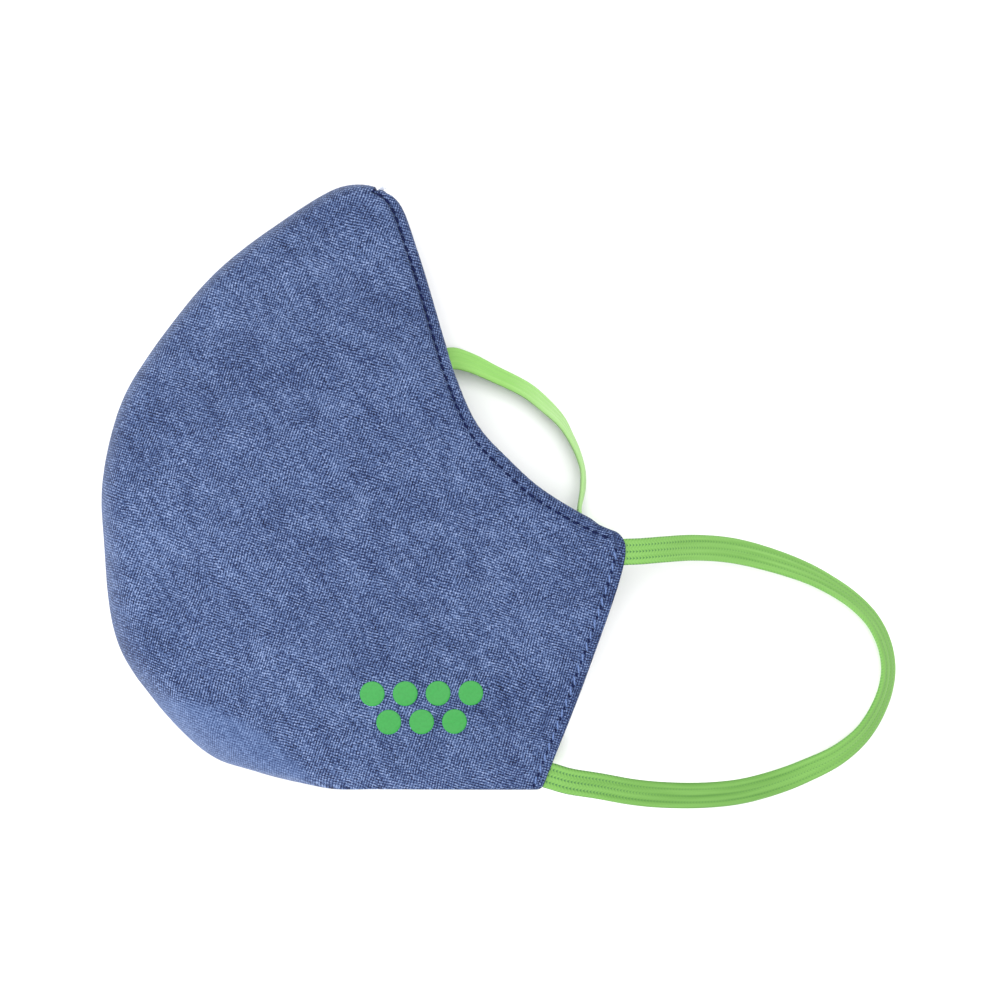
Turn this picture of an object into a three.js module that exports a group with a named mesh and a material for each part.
// A sewn cloth face mask of two shaped halves, folded along its centre seam and
// lying on its side. Millimetres: +X points to the ears, +Y to the nose, +Z up.
import * as THREE from 'three';

// ---------- driving dimensions ----------
const clothWall = 1.6; // outer cotton and its turned inner layer
const hemWall = 2.2; // the same layers folded once more
const hemWidth = 2.6; // from the stitched groove to the folded edge
const hemWidthAtNose = 1.2; // where the top hem runs into the seam
const gap = 0.3; // line left open between pieces that are sewn together
const groove = 0.6; // stitched line between a panel and its hems
const elasticWidth = 6;
const elasticThickness = 1.1;

// How far the lower half stops short of the upper one at the ear and at the top.
const farEarInset = 3.5;
const farTopInset = 1.2;

// Number of flat cells in each wall and in each elastic.
const cellsAlong = 36; // from nose to chin
const cellsInRoll = 5; // across the rounded turn beside the seam
const cellsAcross = 17; // from seam to ear, the turn included
const cellsInHem = 2;
const cellsInBand = 64;

const table = (columns, rows) => {
  const names = columns.split(' ');
  return rows.map((row) => Object.fromEntries(names.map((name, i) => [name, row[i]])));
};

// ---------- flat outline of one half ----------
const centreSeam = table('x y', [
  [4.7, 68.1], // nose end, on the top edge
  [0.3, 69.4],
  [-5.5, 68.8],
  [-19.8, 60.4],
  [-35.4, 47.9],
  [-50.8, 28.3],
  [-56.2, 18.2],
  [-60.3, 0.3],
  [-59.8, -12.8],
  [-56.8, -36.2],
  [-49.2, -48.4],
  [-35.3, -62.5],
  [-24.9, -66.3], // chin end, on the bottom edge
]);
const topEdge = table('x y', [
  [4.7, 68.1],
  [8.6, 65.0],
  [13.0, 53.9],
  [19.6, 32.2],
  [21.4, 26.3],
  [26.9, 13.8],
  [34.0, 5.9],
  [41.5, -0.9],
  [54.5, -8.7],
  [60.0, -10.9], // corner above the ear
]);
const earEdge = table('x y', [
  [60.0, -10.9],
  [60.3, -16.4],
  [52.0, -42.1],
  [41.3, -69.3], // corner under the ear
]);
const bottomEdge = table('x y', [
  [-24.9, -66.3],
  [-14.4, -68.1],
  [-6.1, -69.3],
  [4.4, -69.2],
  [22.7, -69.3],
  [41.3, -69.3],
]);

// ---------- heights of the outer faces, section by section ----------
// at: place along the seam, 0 at the nose and 1 at the chin.  seam: its height.
// roll, rise: width and height of the rounded turn beside the seam.
// reach: distance from the seam to the flattest part.  crown: height there.
// ear: height at the ear edge.
const sectionColumns = 'at seam roll rise reach crown ear';
const nearSections = table(sectionColumns, [
  [0.0, 13.0, 4, 6.0, 60, 24.8, 25.0],
  [0.15, 11.5, 4, 6.0, 50, 27.0, 25.0],
  [0.4, 11.5, 4, 6.5, 50, 29.0, 25.2],
  [0.62, 12.0, 7, 9.0, 50, 30.0, 25.5],
  [0.82, 12.0, 13, 13.0, 50, 30.0, 25.8],
  [1.0, 11.0, 26, 12.0, 50, 27.0, 26.0],
]);
const farSections = table(sectionColumns, [
  [0.0, 13.0, 4, -4.0, 28, 0, 0],
  [0.15, 11.5, 4, -4.0, 26, 0, 0],
  [0.4, 11.5, 4, -5.0, 24, 0, 0],
  [0.62, 12.0, 7, -7.0, 24, 0, 0],
  [0.82, 12.0, 12, -9.0, 26, 0, 0],
  [1.0, 11.0, 20, -8.0, 30, 0, 0],
]);

// ---------- routes of the elastics ----------
// bearing: compass direction, in plan, of the edge of the band that is listed
// first; tilt: how steeply that edge is raised, both in degrees.
const routeColumns = 'x y z bearing tilt';
const nearLoopRoute = table(routeColumns, [
  [60.8, -15.3, 23.8, 270, 0],
  [63.8, -15.2, 22.8, 270, 0],
  [69.5, -14.8, 20.2, 270, 0],
  [76.5, -14.5, 15.6, 270, 2],
  [85.5, -15.2, 10.2, 264, 10],
  [94.4, -17.3, 6.4, 256, 24],
  [103.1, -20.3, 4.3, 250, 38],
  [109.0, -23.2, 3.2, 240, 46],
  [114.7, -27.0, 2.8, 228, 50],
  [119.1, -31.4, 2.8, 216, 52],
  [121.9, -36.6, 2.8, 200, 52],
  [123.1, -42.3, 2.8, 184, 52],
  [122.6, -47.4, 2.8, 174, 50],
  [120.9, -52.3, 2.7, 160, 47],
  [118.0, -57.3, 2.6, 148, 43],
  [115.1, -60.5, 2.5, 136, 38],
  [110.5, -63.9, 2.7, 122, 30],
  [102.9, -67.4, 3.6, 112, 20],
  [97.1, -69.4, 5.2, 104, 14],
  [88.4, -71.3, 8.8, 96, 8],
  [79.7, -71.8, 13.0, 90, 4],
  [69.8, -71.3, 17.6, 86, 0],
  [62.3, -70.3, 20.8, 82, 0],
  [54.1, -68.6, 23.4, 80, 0],
  [47.3, -67.4, 24.5, 74, 0],
  [43.6, -66.3, 24.7, 69, 0],
]);
const farLoopRoute = table(routeColumns, [
  [57.5, -15.5, 1.1, 90, 0],
  [58.7, -15.5, 1.5, 90, 0],
  [59.3, -15.4, 3.0, 90, 0],
  [58.3, -15.2, 4.6, 90, 4],
  [55.9, -14.5, 5.4, 84, 24],
  [53.0, -12.6, 6.2, 60, 60],
  [50.8, -9.8, 6.3, 20, 80],
  [50.3, -6.3, 6.0, 0, 90],
  [51.2, -0.7, 4.9, 0, 97],
  [51.2, 3.5, 3.9, 8, 95],
  [49.9, 7.9, 3.8, 24, 99],
  [47.8, 12.2, 3.6, 36, 104],
  [46.0, 15.1, 3.4, 42, 113],
  [42.9, 18.3, 3.2, 50, 122],
  [38.2, 22.2, 3.1, 58, 127],
  [30.3, 26.2, 3.4, 66, 130],
  [24.3, 28.9, 4.2, 70, 139],
  [20.3, 29.7, 4.8, 80, 152],
  [17.1, 28.2, 5.4, 116, 142],
  [15.7, 24.4, 5.6, 160, 122],
  [16.3, 18.8, 5.4, 194, 100],
  [18.1, 11.8, 5.0, 196, 74],
  [20.1, 3.8, 4.2, 198, 44],
  [22.3, -5.2, 3.4, 198, 16],
  [25.7, -19.2, 2.8, 198, 0],
  [29.1, -33.2, 2.8, 198, 0],
  [32.3, -46.2, 2.8, 200, 0],
  [35.3, -56.6, 3.2, 206, 8],
  [38.7, -62.4, 5.0, 236, 20],
  [41.9, -64.6, 5.2, 250, 8],
  [43.1, -65.1, 3.4, 250, 0],
  [42.3, -64.9, 1.5, 250, 0],
  [40.5, -64.3, 1.1, 250, 0],
]);

// ---------- the two curved halves ----------
const smoothLine = (rows) =>
  new THREE.CatmullRomCurve3(rows.map(({ x, y }) => new THREE.Vector3(x, y, 0)));
const outline = {
  seam: smoothLine(centreSeam),
  top: smoothLine(topEdge),
  ear: smoothLine(earEdge),
  bottom: smoothLine(bottomEdge),
};

// Place in plan, where along runs 0 to 1 from the top edge to the bottom edge and
// across runs 0 to 1 from the seam to the ear edge: the four edges, blended.
function planPoint(along, across) {
  const fromSides = outline.seam.getPointAt(along)
    .lerp(outline.ear.getPointAt(along), across);
  const fromEnds = outline.top.getPointAt(across)
    .lerp(outline.bottom.getPointAt(across), along);
  const topChord = outline.seam.getPointAt(0).lerp(outline.ear.getPointAt(0), across);
  const bottomChord = outline.seam.getPointAt(1).lerp(outline.ear.getPointAt(1), across);
  return fromSides.add(fromEnds).sub(topChord.lerp(bottomChord, along));
}

// Length in plan of the line that runs from the seam to the ear at one place along.
function spanAt(along) {
  const stops = 12;
  let length = 0;
  for (let i = 0; i < stops; i += 1) {
    length += planPoint(along, i / stops).distanceTo(planPoint(along, (i + 1) / stops));
  }
  return length;
}

// One section's measures at any place along, drawn smoothly through the table.
function sectionAt(sections, along) {
  const last = sections.length - 1;
  let i = 0;
  while (i < last - 1 && along > sections[i + 1].at) i += 1;
  const [before, from, to, after] = [i - 1, i, i + 1, i + 2].map(
    (row) => sections[THREE.MathUtils.clamp(row, 0, last)],
  );
  const width = to.at - from.at;
  const t = (along - from.at) / width;
  const slope = (low, high, name) => (width * (high[name] - low[name])) / (high.at - low.at);
  const result = {};
  for (const name of Object.keys(from)) {
    const start = slope(before, to, name);
    const end = slope(from, after, name);
    result[name] = from[name] * (1 + t * t * (2 * t - 3)) + start * t * (1 - t) * (1 - t)
      + to[name] * t * t * (3 - 2 * t) - end * t * t * (1 - t);
  }
  return result;
}

// Height of the outer face at a distance from the seam.
function heightAt(section, distance, across) {
  const turn = Math.min(distance / section.roll, 1);
  const swell = Math.min(distance / section.reach, 1);
  const shoulder = section.seam + section.rise;
  return section.seam + section.rise * Math.sqrt(1 - (1 - turn) ** 2)
    + (section.crown - shoulder) * (1 - (1 - swell) ** 2)
    + (section.ear - section.crown) * THREE.MathUtils.smoothstep(across, 0.5, 1);
}

// Outer face of a half. step counts cells away from the seam, so that the cells in
// the rounded turn are spaced by angle and the others by distance.
function outerPoint(half, along, step) {
  const section = sectionAt(half.sections, along);
  const span = spanAt(along);
  const angle = (Math.min(step / cellsInRoll, 1) * Math.PI) / 2;
  const inRoll = section.roll * (1 - Math.cos(angle));
  const beyond = Math.max(step - cellsInRoll, 0) / (cellsAcross - cellsInRoll);
  const distance = inRoll + beyond * (span - section.roll);
  const across = distance / span;
  const point = planPoint(along, across);
  point.z = heightAt(section, distance, across);
  return point;
}

// Direction out of the cloth, from two short steps along the outer face.
function outwardAt(half, along, step) {
  const small = 1e-3;
  const alongStart = Math.min(along, 1 - small);
  const stepStart = Math.min(step, cellsAcross - small);
  const start = outerPoint(half, alongStart, stepStart);
  const towardChin = outerPoint(half, alongStart + small, stepStart).sub(start);
  const towardEar = outerPoint(half, alongStart, stepStart + small).sub(start);
  return towardChin.cross(towardEar).normalize().multiplyScalar(half.side);
}

// Share of the way along that lies some millimetres in from the top edge.
function alongFromTop(half, millimetres, step) {
  const probe = 0.01;
  const nudge = 0.05;
  const onEdge = outerPoint(half, 0, step);
  const inside = outerPoint(half, probe, step);
  const edgeway = outerPoint(half, 0, Math.min(step + nudge, cellsAcross))
    .sub(outerPoint(half, 0, Math.max(step - nudge, 0))).normalize();
  const inward = inside.sub(onEdge);
  const square = inward.addScaledVector(edgeway, -inward.dot(edgeway)).length();
  const inset = half.topInset * (step / cellsAcross);
  return (probe * (millimetres + inset)) / square;
}

// Number of cells from the seam that leaves some millimetres to the ear edge.
function stepFromEar(half, millimetres, along) {
  const cell = outerPoint(half, along, cellsAcross)
    .distanceTo(outerPoint(half, along, cellsAcross - 1));
  return cellsAcross - (millimetres + half.earInset) / cell;
}

// A closed wall: a block of cells bent so that one large face is the outer face and
// the other lies a wall thickness inside it. spread turns shares of the way, 0 to 1,
// into a place along, a number of cells from the seam and the thickness there.
function bentWall(half, rows, columns, spread) {
  const geometry = new THREE.BoxGeometry(1, 1, 1, rows, columns, 1);
  const position = geometry.attributes.position;
  const corner = new THREE.Vector3();
  for (let i = 0; i < position.count; i += 1) {
    corner.fromBufferAttribute(position, i).addScalar(0.5);
    const { along, step, thickness } = spread(corner.x, corner.y);
    const depth = half.side > 0 ? 1 - corner.z : corner.z;
    const point = outerPoint(half, along, step);
    const outward = outwardAt(half, along, step);
    const nearSeam = Math.max(1 - step, 0);
    point.addScaledVector(outward, -thickness * depth);
    point.z += (half.side * nearSeam * gap) / 2;
    position.setXYZ(i, point.x, point.y, point.z);
  }
  geometry.computeVertexNormals();
  return geometry;
}

const mix = THREE.MathUtils.lerp;

// The top hem widens from the nose on, over the turn beside the seam.
function topHemWidth(step) {
  return mix(hemWidthAtNose, hemWidth, THREE.MathUtils.smoothstep(step, 0, cellsInRoll));
}

// The panel stops at the stitched grooves beside the two hems.
function panelWall(half) {
  return bentWall(half, cellsAlong, cellsAcross, (down, over) => {
    const step = over * stepFromEar(half, hemWidth + groove, down);
    const along = mix(alongFromTop(half, topHemWidth(step) + groove, step), 1, down);
    return { along, step, thickness: clothWall };
  });
}

// The top hem thins to a single wall where it runs into the seam.
function topHemWall(half) {
  const lastStep = stepFromEar(half, hemWidth + groove, 0);
  return bentWall(half, cellsInHem, cellsAcross, (down, over) => {
    const step = over * lastStep;
    const along = alongFromTop(half, down * topHemWidth(step), step);
    const fullness = Math.min(step / cellsInRoll, 1);
    return { along, step, thickness: mix(clothWall, hemWall, fullness) };
  });
}

function earHemWall(half) {
  return bentWall(half, cellsAlong / 2, cellsInHem, (down, over) => {
    const step = stepFromEar(half, (1 - over) * hemWidth, down);
    const along = mix(alongFromTop(half, 0, step), 1, down);
    return { along, step, thickness: hemWall };
  });
}

// ---------- the elastics ----------
// A flat band with rounded edges, bent from a straight one along its route.
function elasticBand(route) {
  const radians = THREE.MathUtils.degToRad;
  const centre = new THREE.CatmullRomCurve3(
    route.map(({ x, y, z }) => new THREE.Vector3(x, y, z)),
  );
  const listedEdge = new THREE.CatmullRomCurve3(
    route.map(({ bearing, tilt }) => new THREE.Vector3(
      Math.cos(radians(bearing)) * Math.cos(radians(tilt)),
      Math.sin(radians(bearing)) * Math.cos(radians(tilt)),
      Math.sin(radians(tilt)),
    )),
  );
  const [halfWidth, halfThickness] = [elasticWidth / 2, elasticThickness / 2];
  const bevel = halfThickness * 0.6;
  const section = new THREE.Shape([
    new THREE.Vector2(halfWidth, bevel - halfThickness),
    new THREE.Vector2(halfWidth, halfThickness - bevel),
    new THREE.Vector2(halfWidth - bevel, halfThickness),
    new THREE.Vector2(bevel - halfWidth, halfThickness),
    new THREE.Vector2(-halfWidth, halfThickness - bevel),
    new THREE.Vector2(-halfWidth, bevel - halfThickness),
    new THREE.Vector2(bevel - halfWidth, -halfThickness),
    new THREE.Vector2(halfWidth - bevel, -halfThickness),
  ]);
  const settings = { steps: cellsInBand, depth: 1, bevelEnabled: false };
  const geometry = new THREE.ExtrudeGeometry(section, settings);
  const position = geometry.attributes.position;
  for (let i = 0; i < position.count; i += 1) {
    const share = centre.getUtoTmapping(THREE.MathUtils.clamp(position.getZ(i), 0, 1));
    const forward = centre.getTangent(share);
    const wide = listedEdge.getPoint(share);
    wide.addScaledVector(forward, -wide.dot(forward)).normalize();
    const thick = forward.clone().cross(wide);
    const point = centre.getPoint(share)
      .addScaledVector(wide, position.getX(i))
      .addScaledVector(thick, position.getY(i));
    position.setXYZ(i, point.x, point.y, point.z);
  }
  geometry.computeVertexNormals();
  return geometry;
}

// ---------- the assembly ----------
const chambray = () => new THREE.MeshStandardMaterial({
  color: 0x5e709d, roughness: 0.9, metalness: 0,
});
const greenElastic = () => new THREE.MeshStandardMaterial({
  color: 0x83c25c, roughness: 0.75, metalness: 0,
});

function piece(name, geometry, material) {
  const mesh = new THREE.Mesh(geometry, material);
  mesh.name = name;
  return mesh;
}

function halfMask(half, name, loopRoute) {
  const group = new THREE.Group();
  group.add(
    piece(`${name}_panel`, panelWall(half), chambray()),
    piece(`${name}_top_hem`, topHemWall(half), chambray()),
    piece(`${name}_ear_hem`, earHemWall(half), chambray()),
    piece(`${name}_ear_loop`, elasticBand(loopRoute), greenElastic()),
  );
  return group;
}

const near = { side: 1, sections: nearSections, earInset: 0, topInset: 0 };
const far = {
  side: -1, sections: farSections, earInset: farEarInset, topInset: farTopInset,
};
const mask = new THREE.Group();
mask.add(halfMask(near, 'near', nearLoopRoute), halfMask(far, 'far', farLoopRoute));

export default mask;
